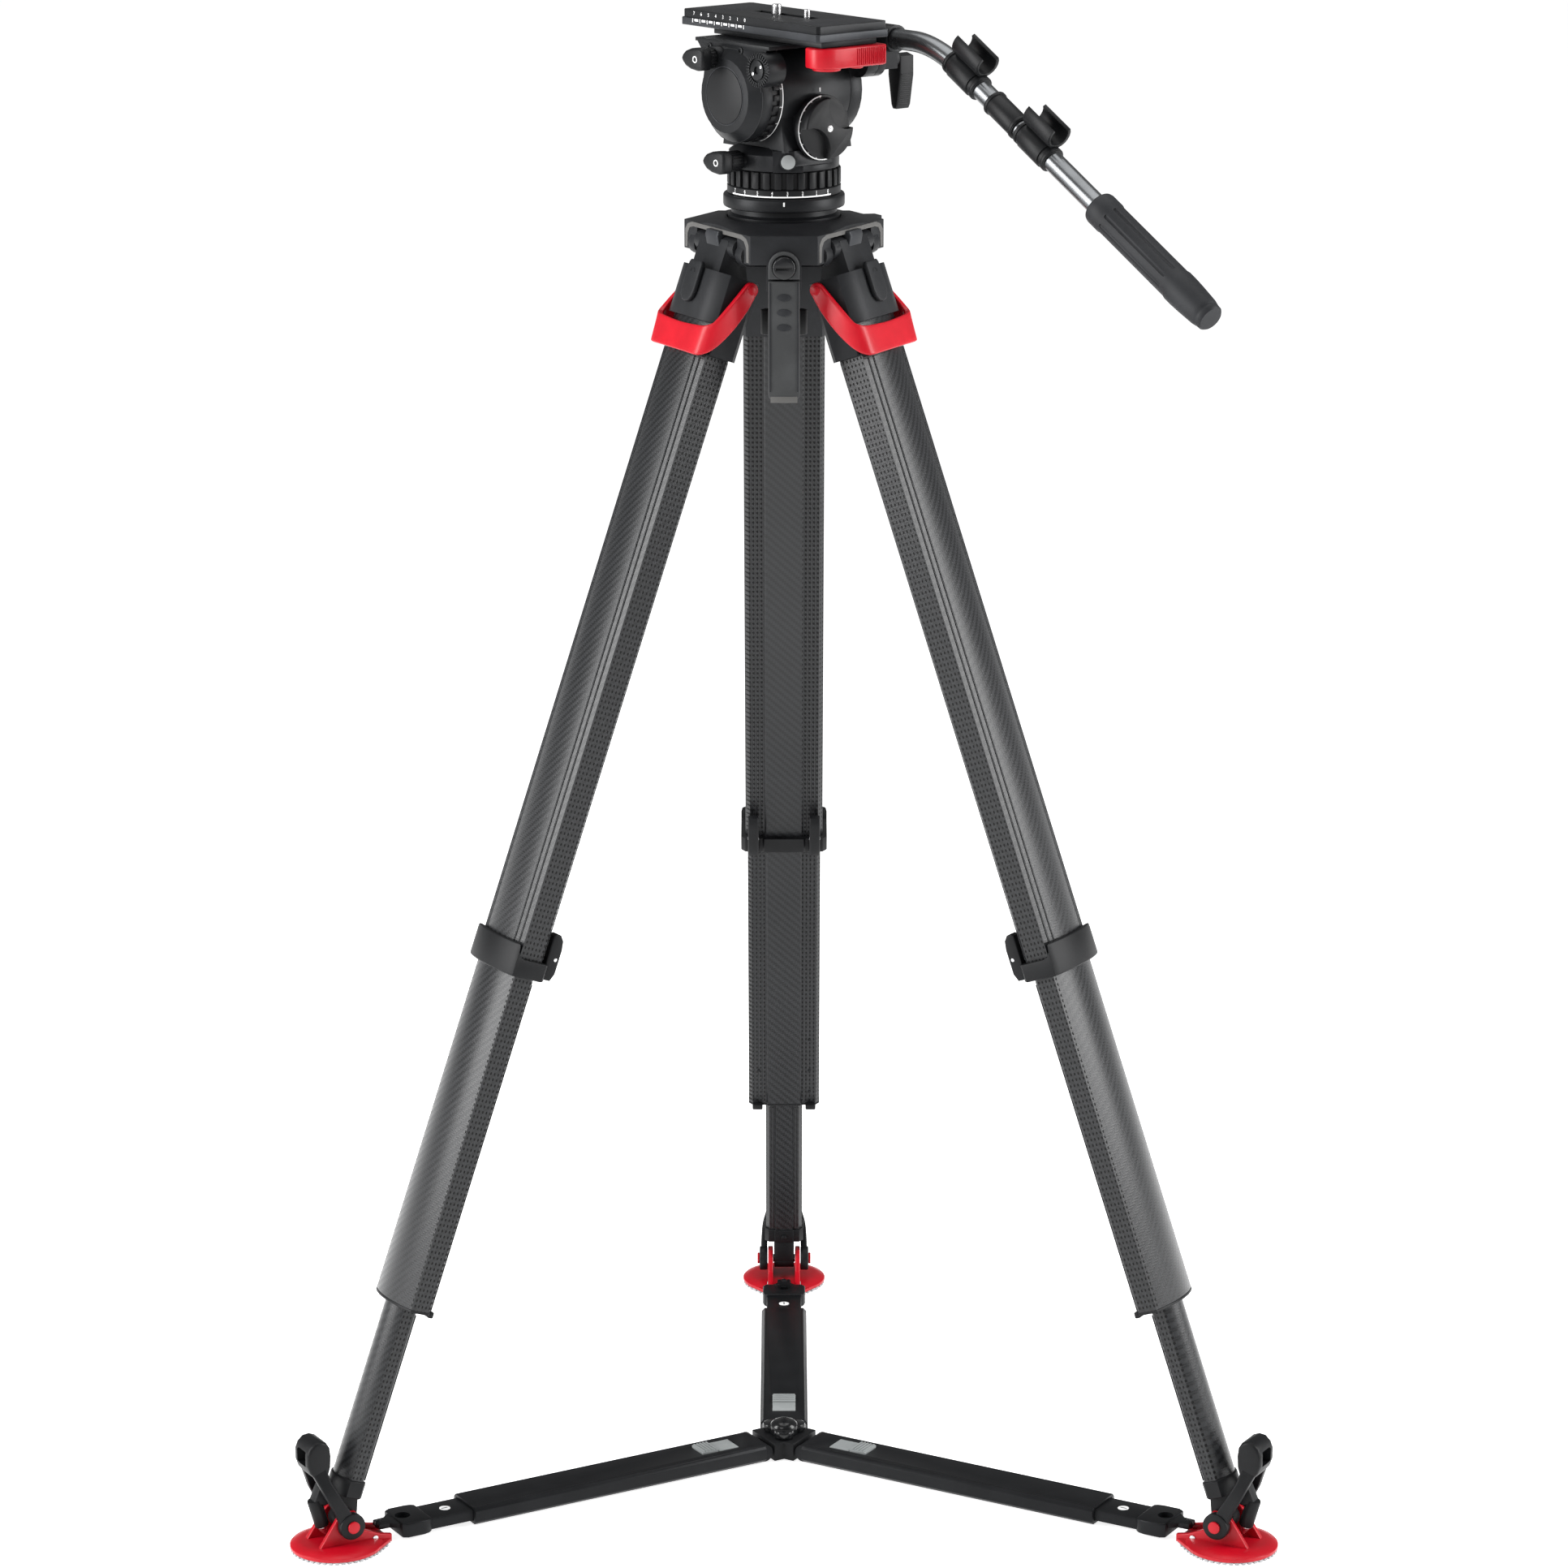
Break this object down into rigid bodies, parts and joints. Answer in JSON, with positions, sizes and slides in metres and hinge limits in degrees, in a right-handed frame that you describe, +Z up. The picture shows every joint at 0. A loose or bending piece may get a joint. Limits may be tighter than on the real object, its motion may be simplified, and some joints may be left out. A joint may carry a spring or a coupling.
{
  "type": "tripod with fluid head",
  "caption": "Telescoping tripod with a levelling ball, fluid pan and tilt head, sliding camera plate, pan bar, ground spreader and flat rubber foot pads.",
  "frame": {"origin": "on the ground, centre of the small flat foot under the spreader hub, below the head", "axes": "+Z up; +Y towards the rear leg; the two other legs point forward-left and forward-right"},
  "size_m": [0.8734, 0.8118, 1.333],
  "materials": {
    "black_metal": "satin anodised and painted",
    "black_plastic": "moulded, satin",
    "grey_casting": "textured paint",
    "carbon": "woven carbon fibre with a clear coat",
    "red_plastic": "satin red",
    "rubber": "matte",
    "steel": "turned",
    "grey_plastic": "ribbed"
  },
  "bodies": {
    "crown": {"spider": "grey_casting", "strap_knob": "black_plastic"},
    "levelling_ball": {"half_ball": "black_metal"},
    "clamp_knob": {"bowl_clamp_knob": "black_plastic"},
    "strap": {"hanging_strap": "rubber"},
    "pan_ring": {"pan_drag_ring": "black_plastic"},
    "pan_stage": {"pan_housing": "black_metal", "spirit_level": "grey_plastic"},
    "pan_brake": {"pan_brake_lever": "black_plastic"},
    "balance_dial": {"counterbalance_dial": "black_plastic"},
    "tilt_ring": {"tilt_drag_dial": "black_plastic"},
    "tilt_stage": {"tilt_cradle": "black_metal", "plate_bed": "black_metal"},
    "tilt_brake": {"tilt_brake_lever": "black_plastic"},
    "plate_lever": {"plate_release_lever": "red_plastic"},
    "sliding_plate": {"camera_plate": "black_metal"},
    "large_screw": {"screw_3_8": "steel"},
    "small_screw": {"screw_1_4": "steel"},
    "pan_bar": {"pan_bar_clamp": "black_metal", "pan_bar_tube": "black_metal", "pan_bar_grip": "rubber", "pan_bar_clip_upper": "black_plastic", "pan_bar_clip_lower": "black_plastic"},
    "bar_lever": {"pan_bar_clamp_lever": "black_plastic"},
    "hub": {"spreader_hub": "black_plastic"},
    "knob_of_hub": {"hub_knob": "black_plastic"},
    "leg_rear": {"leg_head_rear": "grey_casting", "upper_tube_rear": "carbon"},
    "mid_stage_rear": {"mid_tube_rear": "carbon"},
    "lower_stage_rear": {"lower_tube_rear": "carbon"},
    "bail_rear": {"release_lever_rear": "red_plastic"},
    "latch_rear": {"angle_latch_rear": "grey_plastic"},
    "foot_rear": {"foot_pad_rear": "red_plastic"},
    "clip_lever_rear": {"foot_lever_rear": "black_plastic"},
    "arm_rear": {"spreader_arm_rear": "black_metal"},
    "slider_rear": {"spreader_slider_rear": "black_metal"},
    "button_rear": {"arm_button_rear": "grey_plastic"},
    "leg_left": {"leg_head_left": "grey_casting", "upper_tube_left": "carbon"},
    "mid_stage_left": {"mid_tube_left": "carbon"},
    "lower_stage_left": {"lower_tube_left": "carbon"},
    "bail_left": {"release_lever_left": "red_plastic"},
    "latch_left": {"angle_latch_left": "grey_plastic"},
    "foot_left": {"foot_pad_left": "red_plastic"},
    "clip_lever_left": {"foot_lever_left": "black_plastic"},
    "arm_left": {"spreader_arm_left": "black_metal"},
    "slider_left": {"spreader_slider_left": "black_metal"},
    "button_left": {"arm_button_left": "grey_plastic"},
    "leg_right": {"leg_head_right": "grey_casting", "upper_tube_right": "carbon"},
    "mid_stage_right": {"mid_tube_right": "carbon"},
    "lower_stage_right": {"lower_tube_right": "carbon"},
    "bail_right": {"release_lever_right": "red_plastic"},
    "latch_right": {"angle_latch_right": "grey_plastic"},
    "foot_right": {"foot_pad_right": "red_plastic"},
    "clip_lever_right": {"foot_lever_right": "black_plastic"},
    "arm_right": {"spreader_arm_right": "black_metal"},
    "slider_right": {"spreader_slider_right": "black_metal"},
    "button_right": {"arm_button_right": "grey_plastic"}
  },
  "joints": [
    {"name": "ball_level", "type": "hinge", "parent": "crown", "child": "levelling_ball", "pos_m": [0, 0, 1.154], "axis": [1, 0, 0], "range_deg": [-8, 8]},
    {"name": "clamp_knob_turn", "type": "hinge", "parent": "levelling_ball", "child": "clamp_knob", "pos_m": [0, 0, 1.06], "axis": [0, 0, 1], "continuous": true},
    {"name": "strap_swing", "type": "hinge", "parent": "crown", "child": "strap", "pos_m": [0, -0.0874, 1.105], "axis": [-1, 0, 0], "range_deg": [0, 75]},
    {"name": "pan_drag_turn", "type": "hinge", "parent": "levelling_ball", "child": "pan_ring", "pos_m": [0, 0, 1.18], "axis": [0, 0, 1], "range_deg": [-150, 120]},
    {"name": "pan", "type": "hinge", "parent": "levelling_ball", "child": "pan_stage", "pos_m": [0, 0, 1.2], "axis": [0, 0, 1], "continuous": true},
    {"name": "pan_brake_turn", "type": "hinge", "parent": "pan_stage", "child": "pan_brake", "pos_m": [-0.0463, -0.03816, 1.203], "axis": [-0.7716, -0.6361, 0], "range_deg": [0, 100]},
    {"name": "balance_dial_turn", "type": "hinge", "parent": "pan_stage", "child": "balance_dial", "pos_m": [0.03412, -0.03667, 1.232], "axis": [0.6361, -0.7716, 0], "range_deg": [-150, 150]},
    {"name": "tilt_drag_turn", "type": "hinge", "parent": "pan_stage", "child": "tilt_ring", "pos_m": [-0.03086, -0.02544, 1.26], "axis": [0.7716, 0.6361, 0], "range_deg": [-120, 120]},
    {"name": "tilt", "type": "hinge", "parent": "pan_stage", "child": "tilt_stage", "pos_m": [0, 0, 1.26], "axis": [0.7716, 0.6361, 0], "range_deg": [-75, 40]},
    {"name": "tilt_brake_turn", "type": "hinge", "parent": "tilt_stage", "child": "tilt_brake", "pos_m": [-0.06791, -0.03395, 1.291], "axis": [-0.7716, -0.6361, 0], "range_deg": [-40, 60]},
    {"name": "plate_lever_turn", "type": "hinge", "parent": "tilt_stage", "child": "plate_lever", "pos_m": [0.03391, -0.07572, 1.297], "axis": [0, 0, -1], "range_deg": [0, 55]},
    {"name": "plate_slide", "type": "slide", "parent": "tilt_stage", "child": "sliding_plate", "axis": [0.6361, -0.7716, 0], "range_m": [-0.05, 0.05]},
    {"name": "large_screw_turn", "type": "hinge", "parent": "sliding_plate", "child": "large_screw", "pos_m": [-0.00636, 0.00772, 1.32], "axis": [0, 0, 1], "continuous": true},
    {"name": "small_screw_turn", "type": "hinge", "parent": "sliding_plate", "child": "small_screw", "pos_m": [0.01972, -0.02392, 1.32], "axis": [0, 0, 1], "continuous": true},
    {"name": "pan_bar_angle", "type": "hinge", "parent": "tilt_stage", "child": "pan_bar", "pos_m": [0.07583, 0.00549, 1.286], "axis": [0.7716, 0.6361, 0], "range_deg": [-60, 15]},
    {"name": "bar_lever_turn", "type": "hinge", "parent": "pan_bar", "child": "bar_lever", "pos_m": [0.10129, 0.02648, 1.286], "axis": [0.7716, 0.6361, 0], "range_deg": [-90, 90]},
    {"name": "hub_rise", "type": "slide", "parent": "crown", "child": "hub", "axis": [0, 0, 1], "range_m": [-0.04, 0.08]},
    {"name": "hub_knob_turn", "type": "hinge", "parent": "hub", "child": "knob_of_hub", "pos_m": [0, 0, 0.025], "axis": [0, 0, 1], "continuous": true},
    {"name": "spread_rear", "type": "hinge", "parent": "crown", "child": "leg_rear", "pos_m": [0, 0.062, 1.13], "axis": [1, 0, 0], "range_deg": [-2, 6.5]},
    {"name": "mid_extend_rear", "type": "slide", "parent": "leg_rear", "child": "mid_stage_rear", "axis": [0, 0.3437, -0.9391], "range_m": [0, 0.15]},
    {"name": "lower_extend_rear", "type": "slide", "parent": "mid_stage_rear", "child": "lower_stage_rear", "axis": [0, 0.3437, -0.9391], "range_m": [0, 0.26]},
    {"name": "release_rear", "type": "hinge", "parent": "leg_rear", "child": "bail_rear", "pos_m": [0, 0.05857, 1.09573], "axis": [1, 0, 0], "range_deg": [0, 20], "stiffness_Nm_per_rad": 0.4, "springref_deg": -11.46},
    {"name": "latch_rear_turn", "type": "hinge", "parent": "leg_rear", "child": "latch_rear", "pos_m": [0, 0.08565, 1.11629], "axis": [1, 0, 0], "range_deg": [0, 8], "stiffness_Nm_per_rad": 0.05, "springref_deg": -11.46},
    {"name": "ankle_rear", "type": "hinge", "parent": "lower_stage_rear", "child": "foot_rear", "pos_m": [0, 0.4515, 0.027], "axis": [1, 0, 0], "range_deg": [-8, 4]},
    {"name": "clip_lever_rear_turn", "type": "hinge", "parent": "foot_rear", "child": "clip_lever_rear", "pos_m": [0, 0.4515, 0.027], "axis": [-1, 0, 0], "range_deg": [0, 55]},
    {"name": "arm_fold_rear", "type": "hinge", "parent": "hub", "child": "arm_rear", "pos_m": [0, 0.031, 0.0105], "axis": [1, 0, 0], "range_deg": [0, 78]},
    {"name": "arm_reach_rear", "type": "slide", "parent": "arm_rear", "child": "slider_rear", "axis": [0, 1, 0], "range_m": [-0.045, 0.13]},
    {"name": "button_rear_press", "type": "slide", "parent": "arm_rear", "child": "button_rear", "axis": [0, 0, -1], "range_m": [0, 0.002], "stiffness_N_per_m": 500, "springref_m": -0.001},
    {"name": "spread_left", "type": "hinge", "parent": "crown", "child": "leg_left", "pos_m": [-0.05369, -0.031, 1.13], "axis": [-0.5, 0.866, 0], "range_deg": [-2, 6.5]},
    {"name": "mid_extend_left", "type": "slide", "parent": "leg_left", "child": "mid_stage_left", "axis": [-0.2976, -0.1718, -0.9391], "range_m": [0, 0.15]},
    {"name": "lower_extend_left", "type": "slide", "parent": "mid_stage_left", "child": "lower_stage_left", "axis": [-0.2976, -0.1718, -0.9391], "range_m": [0, 0.26]},
    {"name": "release_left", "type": "hinge", "parent": "leg_left", "child": "bail_left", "pos_m": [-0.05072, -0.02928, 1.09573], "axis": [-0.5, 0.866, 0], "range_deg": [0, 20], "stiffness_Nm_per_rad": 0.4, "springref_deg": -11.46},
    {"name": "latch_left_turn", "type": "hinge", "parent": "leg_left", "child": "latch_left", "pos_m": [-0.07418, -0.04283, 1.11629], "axis": [-0.5, 0.866, 0], "range_deg": [0, 8], "stiffness_Nm_per_rad": 0.05, "springref_deg": -11.46},
    {"name": "ankle_left", "type": "hinge", "parent": "lower_stage_left", "child": "foot_left", "pos_m": [-0.39101, -0.22575, 0.027], "axis": [-0.5, 0.866, 0], "range_deg": [-8, 4]},
    {"name": "clip_lever_left_turn", "type": "hinge", "parent": "foot_left", "child": "clip_lever_left", "pos_m": [-0.39101, -0.22575, 0.027], "axis": [0.5, -0.866, 0], "range_deg": [0, 55]},
    {"name": "arm_fold_left", "type": "hinge", "parent": "hub", "child": "arm_left", "pos_m": [-0.02685, -0.0155, 0.0105], "axis": [-0.5, 0.866, 0], "range_deg": [0, 78]},
    {"name": "arm_reach_left", "type": "slide", "parent": "arm_left", "child": "slider_left", "axis": [-0.866, -0.5, 0], "range_m": [-0.045, 0.13]},
    {"name": "button_left_press", "type": "slide", "parent": "arm_left", "child": "button_left", "axis": [0, 0, -1], "range_m": [0, 0.002], "stiffness_N_per_m": 500, "springref_m": -0.001},
    {"name": "spread_right", "type": "hinge", "parent": "crown", "child": "leg_right", "pos_m": [0.05369, -0.031, 1.13], "axis": [-0.5, -0.866, 0], "range_deg": [-2, 6.5]},
    {"name": "mid_extend_right", "type": "slide", "parent": "leg_right", "child": "mid_stage_right", "axis": [0.2976, -0.1718, -0.9391], "range_m": [0, 0.15]},
    {"name": "lower_extend_right", "type": "slide", "parent": "mid_stage_right", "child": "lower_stage_right", "axis": [0.2976, -0.1718, -0.9391], "range_m": [0, 0.26]},
    {"name": "release_right", "type": "hinge", "parent": "leg_right", "child": "bail_right", "pos_m": [0.05072, -0.02928, 1.09573], "axis": [-0.5, -0.866, 0], "range_deg": [0, 20], "stiffness_Nm_per_rad": 0.4, "springref_deg": -11.46},
    {"name": "latch_right_turn", "type": "hinge", "parent": "leg_right", "child": "latch_right", "pos_m": [0.07418, -0.04283, 1.11629], "axis": [-0.5, -0.866, 0], "range_deg": [0, 8], "stiffness_Nm_per_rad": 0.05, "springref_deg": -11.46},
    {"name": "ankle_right", "type": "hinge", "parent": "lower_stage_right", "child": "foot_right", "pos_m": [0.39101, -0.22575, 0.027], "axis": [-0.5, -0.866, 0], "range_deg": [-8, 4]},
    {"name": "clip_lever_right_turn", "type": "hinge", "parent": "foot_right", "child": "clip_lever_right", "pos_m": [0.39101, -0.22575, 0.027], "axis": [0.5, 0.866, 0], "range_deg": [0, 55]},
    {"name": "arm_fold_right", "type": "hinge", "parent": "hub", "child": "arm_right", "pos_m": [0.02685, -0.0155, 0.0105], "axis": [-0.5, -0.866, 0], "range_deg": [0, 78]},
    {"name": "arm_reach_right", "type": "slide", "parent": "arm_right", "child": "slider_right", "axis": [0.866, -0.5, 0], "range_m": [-0.045, 0.13]},
    {"name": "button_right_press", "type": "slide", "parent": "arm_right", "child": "button_right", "axis": [0, 0, -1], "range_m": [0, 0.002], "stiffness_N_per_m": 500, "springref_m": -0.001}
  ],
  "couplings": [
    {"joint": "ankle_rear", "follows": "spread_rear", "ratio": -1},
    {"joint": "arm_reach_rear", "follows": "spread_rear", "m_per_rad": 1.09},
    {"joint": "spread_left", "follows": "spread_rear", "ratio": 1},
    {"joint": "ankle_left", "follows": "spread_rear", "ratio": -1},
    {"joint": "arm_reach_left", "follows": "spread_rear", "m_per_rad": 1.09},
    {"joint": "spread_right", "follows": "spread_rear", "ratio": 1},
    {"joint": "ankle_right", "follows": "spread_rear", "ratio": -1},
    {"joint": "arm_reach_right", "follows": "spread_rear", "m_per_rad": 1.09},
    {"joint": "hub_rise", "follows": "spread_rear", "m_per_rad": 0.428}
  ]
}
